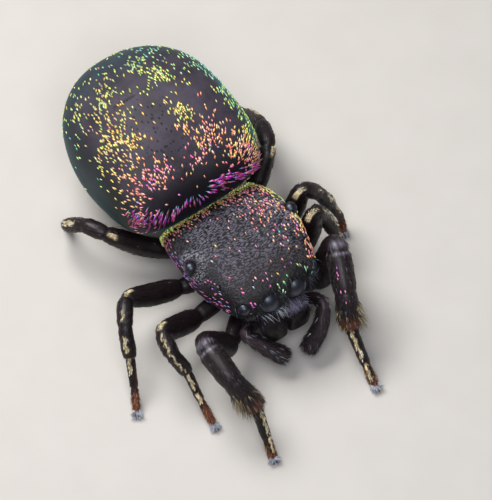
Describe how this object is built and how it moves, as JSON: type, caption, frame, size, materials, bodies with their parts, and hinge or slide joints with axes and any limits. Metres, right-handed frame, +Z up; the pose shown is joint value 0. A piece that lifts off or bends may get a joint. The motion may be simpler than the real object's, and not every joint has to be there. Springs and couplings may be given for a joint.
{
  "type": "jumping spider model, sassacus cyaneus",
  "caption": "Still, life-size model of a small dark jumping spider with a globe-shaped iridescent abdomen, flat carapace, raised knees and short palps, standing on its feet.",
  "frame": {"origin": "on the floor, under the centre of the model's box", "axes": "+Z up, -Y the way the spider looks, +X toward its left side; the feet rest on Z = 0"},
  "size_m": [0.0042, 0.006, 0.0026],
  "materials": {
    "carapace_cuticle": "matte black cuticle, finely wrinkled, with scattered iridescent scales",
    "abdomen_cuticle": "satin charcoal cuticle with a purple to teal sheen and iridescent scales",
    "underside_cuticle": "satin dark brown cuticle",
    "leg_cuticle": "satin dark brown cuticle with pale scale patches",
    "leg_foot": "translucent amber cuticle with pale hairs",
    "palp_cuticle": "satin dark cuticle with pale hairs",
    "eye_lens": "glossy black lens"
  },
  "bodies": {
    "root": {"carapace": "carapace_cuticle", "underside": "underside_cuticle", "abdomen": "abdomen_cuticle", "pedicel": "underside_cuticle", "spinnerets": "underside_cuticle", "chelicera_left": "palp_cuticle", "palp_left_base": "palp_cuticle", "palp_left_tip": "palp_cuticle", "eye_front_middle_left": "eye_lens", "eye_front_side_left": "eye_lens", "eye_rear_middle_left": "eye_lens", "eye_rear_side_left": "eye_lens", "leg_left_1_femur": "leg_cuticle", "leg_left_1_patella": "leg_cuticle", "leg_left_1_tibia": "leg_cuticle", "leg_left_1_foot": "leg_foot", "leg_left_2_femur": "leg_cuticle", "leg_left_2_patella": "leg_cuticle", "leg_left_2_tibia": "leg_cuticle", "leg_left_2_foot": "leg_foot", "leg_left_3_femur": "leg_cuticle", "leg_left_3_patella": "leg_cuticle", "leg_left_3_tibia": "leg_cuticle", "leg_left_3_foot": "leg_foot", "leg_left_4_femur": "leg_cuticle", "leg_left_4_patella": "leg_cuticle", "leg_left_4_tibia": "leg_cuticle", "leg_left_4_foot": "leg_foot", "chelicera_right": "palp_cuticle", "palp_right_base": "palp_cuticle", "palp_right_tip": "palp_cuticle", "eye_front_middle_right": "eye_lens", "eye_front_side_right": "eye_lens", "eye_rear_middle_right": "eye_lens", "eye_rear_side_right": "eye_lens", "leg_right_1_femur": "leg_cuticle", "leg_right_1_patella": "leg_cuticle", "leg_right_1_tibia": "leg_cuticle", "leg_right_1_foot": "leg_foot", "leg_right_2_femur": "leg_cuticle", "leg_right_2_patella": "leg_cuticle", "leg_right_2_tibia": "leg_cuticle", "leg_right_2_foot": "leg_foot", "leg_right_3_femur": "leg_cuticle", "leg_right_3_patella": "leg_cuticle", "leg_right_3_tibia": "leg_cuticle", "leg_right_3_foot": "leg_foot", "leg_right_4_femur": "leg_cuticle", "leg_right_4_patella": "leg_cuticle", "leg_right_4_tibia": "leg_cuticle", "leg_right_4_foot": "leg_foot"}
  },
  "joints": []
}
